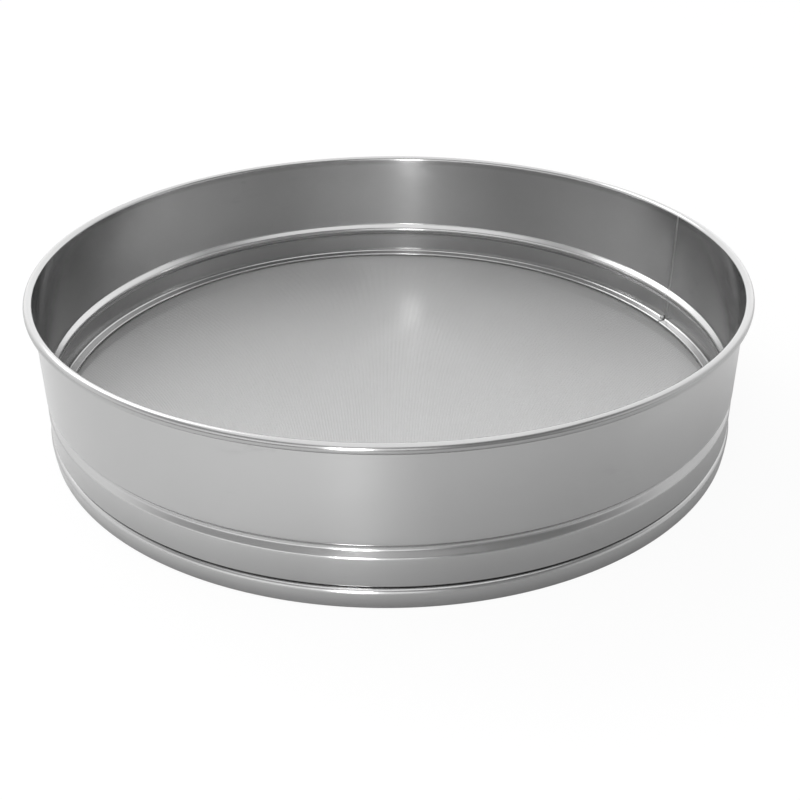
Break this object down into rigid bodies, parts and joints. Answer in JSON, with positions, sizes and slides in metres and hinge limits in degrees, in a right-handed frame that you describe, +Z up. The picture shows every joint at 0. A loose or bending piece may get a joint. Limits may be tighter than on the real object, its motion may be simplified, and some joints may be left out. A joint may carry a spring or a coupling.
{
  "type": "drum sieve",
  "caption": "Shallow round steel drum sieve with a wire-rolled rim, an inward stiffening bead, a fine wire cloth clamped between flanges and a low foot ring.",
  "frame": {"origin": "on the floor, at the middle of the foot ring", "axes": "+Z up along the drum's axis, out of its open side; -Y towards the front of the pictured view; +X to its right"},
  "size_m": [0.3, 0.2999, 0.065],
  "materials": {
    "hoop_steel": "satin, rolled round the drum",
    "foot_steel": "satin, rolled round the ring",
    "wire_steel": "drawn wire",
    "cloth_steel": "fine drawn wire, plain weave",
    "weld_steel": "as welded, brushed over"
  },
  "bodies": {
    "root": {"drum_hoop": "hoop_steel", "rim_wire": "wire_steel", "hoop_seam_weld": "weld_steel", "wire_cloth": "cloth_steel", "foot_ring": "foot_steel", "foot_ring_seam_weld": "weld_steel", "clamp_spot_welds": "weld_steel"}
  },
  "joints": []
}
